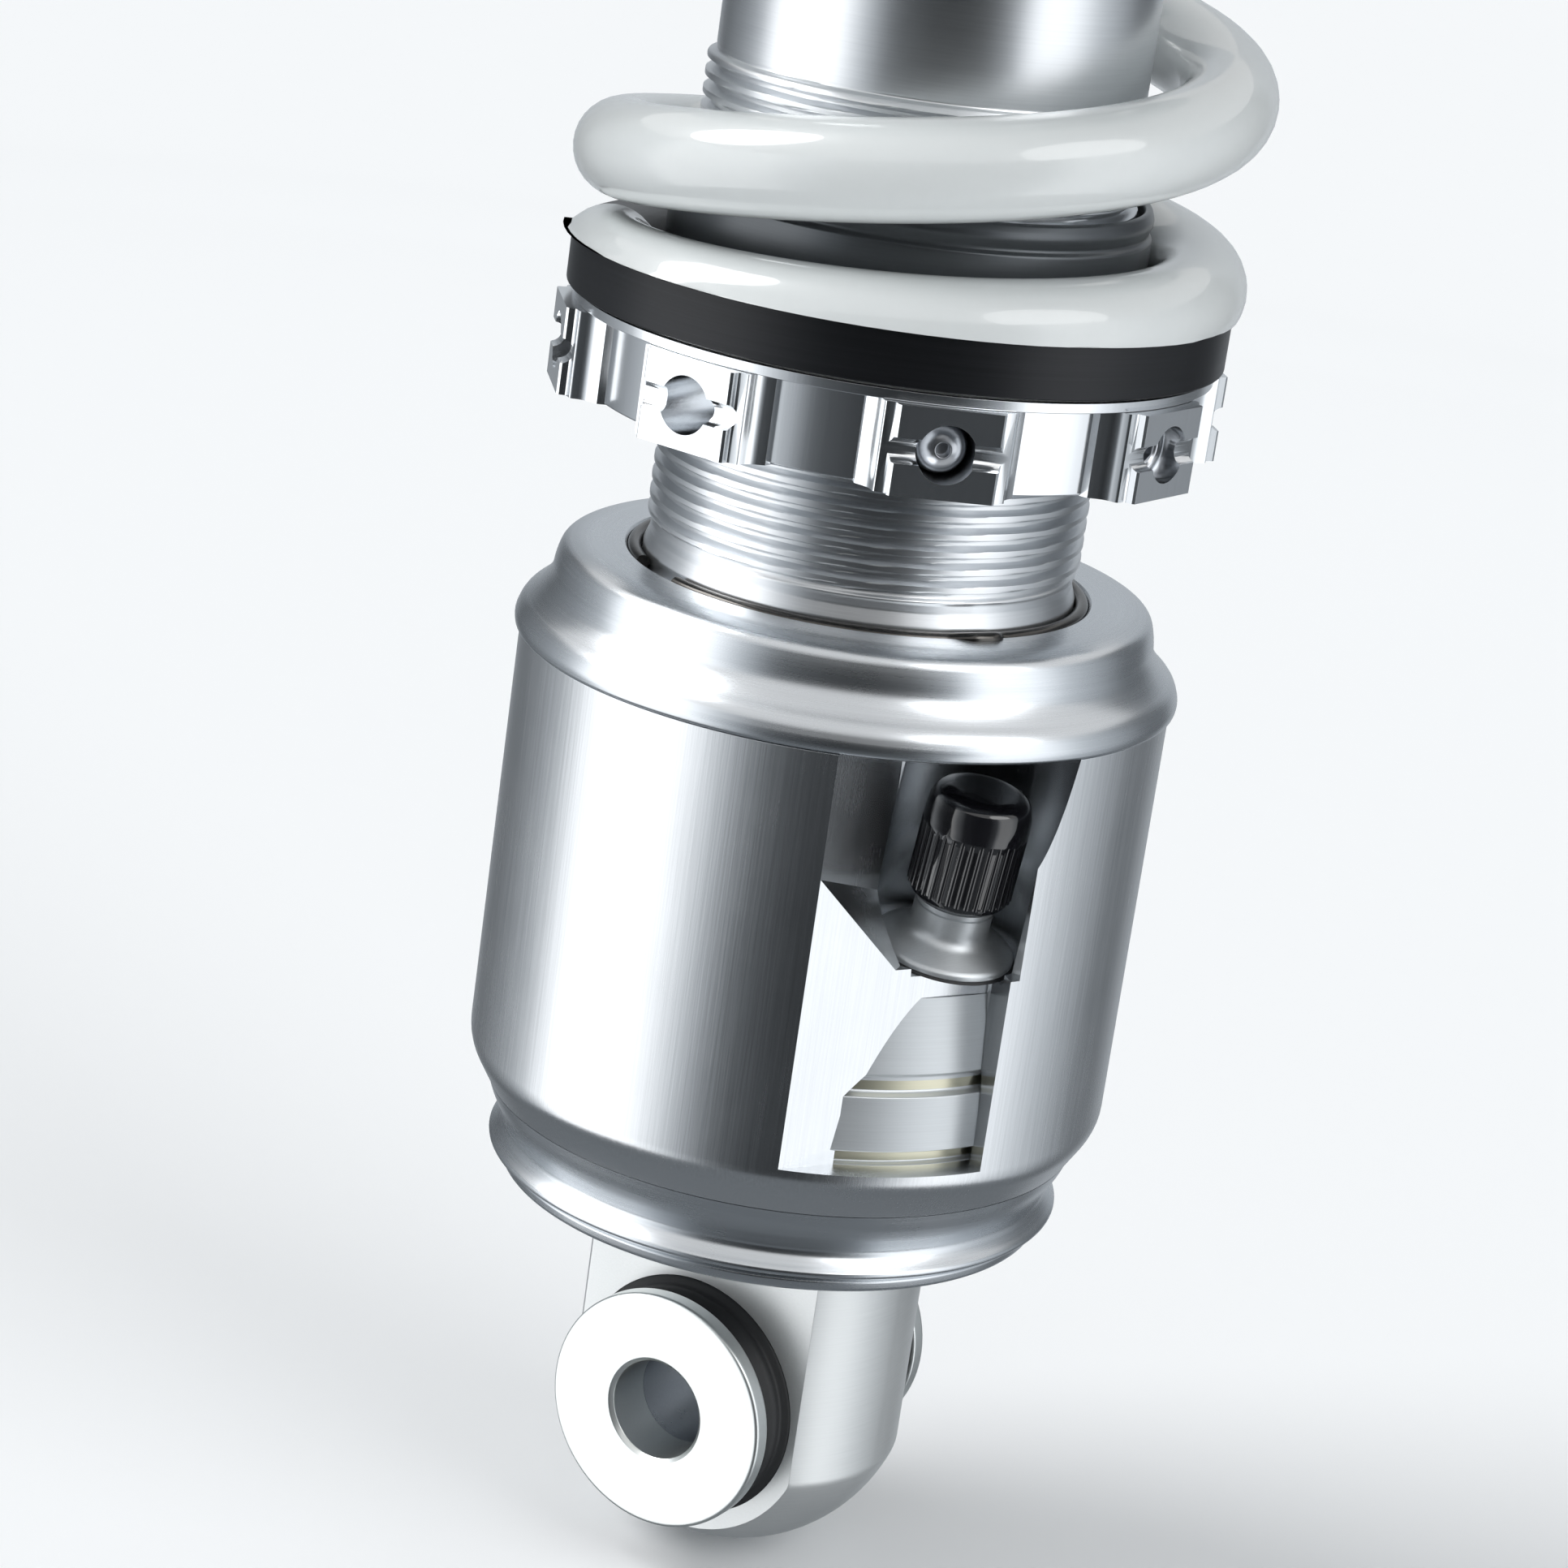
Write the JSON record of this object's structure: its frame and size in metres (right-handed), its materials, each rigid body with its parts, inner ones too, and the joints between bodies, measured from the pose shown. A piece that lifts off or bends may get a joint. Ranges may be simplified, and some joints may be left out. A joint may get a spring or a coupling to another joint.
{
  "type": "motorcycle rear shock absorber",
  "caption": "coil-over rear shock absorber with eyes at both ends, gas canister with valve pocket, threaded body, preload collar and spring",
  "frame": {"origin": "centre of the canister-end eye bore", "axes": "+Z along the shock axis to the rod-end eye, bolt axes along Y, gas valve between -Y and +X"},
  "size_m": [0.078, 0.078, 0.3963],
  "materials": {
    "turned_aluminium": "satin, fine turning lines",
    "brushed_aluminium": "brushed lengthwise, satin",
    "threaded_aluminium": "satin, hard anodised clear",
    "machined_collar": "bright machined",
    "black_anodised": "black anodised, fine turning lines",
    "gold_anodised": "gold anodised, satin",
    "spring_wire": "blued spring steel, satin",
    "satin_steel": "satin",
    "zinc_steel": "matte zinc plate",
    "hard_chrome": "ground and polished hard chrome",
    "spring_paint": "gloss pale grey powder coat",
    "valve_brass": "plain brass",
    "bearing_bronze": "bronze-backed bush",
    "black_rubber": "matte",
    "black_plastic": "gloss, fine ribs",
    "guide_plastic": "matte dark grey",
    "slide_band": "filled plastic band",
    "white_nylon": "matte",
    "bump_foam": "cellular urethane, matte"
  },
  "bodies": {
    "damper": {"canister_cup": "turned_aluminium", "canister_housing": "brushed_aluminium", "canister_head": "turned_aluminium", "head_wire_ring": "spring_wire", "canister_seals": "black_rubber", "damper_tube": "threaded_aluminium", "seal_head": "turned_aluminium", "rod_bushing": "bearing_bronze", "rod_seal": "black_rubber", "dust_wiper": "black_rubber", "seal_head_ring": "black_rubber", "gas_valve_body": "satin_steel", "gas_valve_core": "valve_brass", "lower_needle_cup": "satin_steel", "lower_needle_rollers": "satin_steel", "lower_eye_seals": "black_rubber"},
    "valve_pin": {"valve_core_pin": "valve_brass"},
    "cap_washer": {"valve_cap_washer": "black_rubber"},
    "cap": {"valve_cap": "black_plastic"},
    "gas_piston": {"floating_piston": "turned_aluminium", "floating_piston_seal": "black_rubber", "floating_piston_band": "slide_band"},
    "seat": {"slip_washer": "white_nylon", "spring_seat": "black_anodised", "spring_guide": "guide_plastic", "main_spring": "spring_paint"},
    "collar": {"preload_collar": "machined_collar", "collar_detent_pin": "satin_steel", "collar_lock_screw": "satin_steel"},
    "rod": {"piston_rod": "hard_chrome", "piston": "turned_aluminium", "piston_band": "slide_band", "compression_shims": "satin_steel", "rebound_shims": "satin_steel", "piston_nut": "satin_steel", "top_out_washer": "black_rubber", "bump_stop": "bump_foam", "bump_stop_washer": "zinc_steel", "spring_retainer": "turned_aluminium", "retainer_clip": "satin_steel", "rod_end_eye": "turned_aluminium", "rod_end_nut": "zinc_steel", "upper_needle_cup": "satin_steel", "upper_needle_rollers": "satin_steel", "upper_eye_seals": "black_rubber"},
    "needle": {"rebound_needle": "satin_steel"},
    "knob": {"rebound_knob": "gold_anodised"},
    "lower_bush": {"lower_inner_sleeve": "satin_steel", "lower_spacer_left": "zinc_steel", "lower_spacer_right": "zinc_steel"},
    "upper_bush": {"upper_inner_sleeve": "satin_steel", "upper_spacer_left": "zinc_steel", "upper_spacer_right": "zinc_steel"}
  },
  "joints": [
    {"name": "seat_slide", "type": "slide", "parent": "damper", "child": "seat", "axis": [0, 0, 1], "range_m": [-0.008, 0]},
    {"name": "collar_turn", "type": "hinge", "parent": "seat", "child": "collar", "pos_m": [0, 0, 0.1235], "axis": [0, 0, 1], "range_deg": [-1440, 0]},
    {"name": "rod_slide", "type": "slide", "parent": "seat", "child": "rod", "axis": [0, 0, 1], "range_m": [-0.056, 0], "stiffness_N_per_m": 85000, "springref_m": 0.01, "deforming": ["main_spring"]},
    {"name": "gas_piston_slide", "type": "slide", "parent": "damper", "child": "gas_piston", "axis": [0, 0, 1], "range_m": [-0.00678, 0]},
    {"name": "lower_eye_swing", "type": "hinge", "parent": "damper", "child": "lower_bush", "pos_m": [0, 0, 0], "axis": [0, 1, 0], "continuous": true},
    {"name": "upper_eye_swing", "type": "hinge", "parent": "rod", "child": "upper_bush", "pos_m": [0, 0, 0.35434], "axis": [0, 1, 0], "continuous": true},
    {"name": "cap_lift", "type": "slide", "parent": "damper", "child": "cap_washer", "axis": [0.1418, -0.0661, 0.9877], "range_m": [0, 0.0044]},
    {"name": "cap_turn", "type": "hinge", "parent": "cap_washer", "child": "cap", "pos_m": [0.02402, -0.0112, 0.0639], "axis": [0.1418, -0.0661, 0.9877], "range_deg": [0, 1980]},
    {"name": "valve_pin_slide", "type": "slide", "parent": "damper", "child": "valve_pin", "axis": [0.1418, -0.0661, 0.9877], "range_m": [-0.0012, 0], "stiffness_N_per_m": 1500, "springref_m": 0.002},
    {"name": "needle_slide", "type": "slide", "parent": "rod", "child": "needle", "axis": [0, 0, 1], "range_m": [-0.003, 0]},
    {"name": "rebound_knob_turn", "type": "hinge", "parent": "rod", "child": "knob", "pos_m": [0.0203, 0, 0.33864], "axis": [1, 0, 0], "range_deg": [-1080, 0]}
  ],
  "couplings": [
    {"joint": "collar_turn", "follows": "seat_slide", "rad_per_m": 3141.6},
    {"joint": "gas_piston_slide", "follows": "rod_slide", "ratio": 0.12098},
    {"joint": "cap_turn", "follows": "cap_lift", "rad_per_m": 7854},
    {"joint": "rebound_knob_turn", "follows": "needle_slide", "rad_per_m": 6283.2}
  ]
}
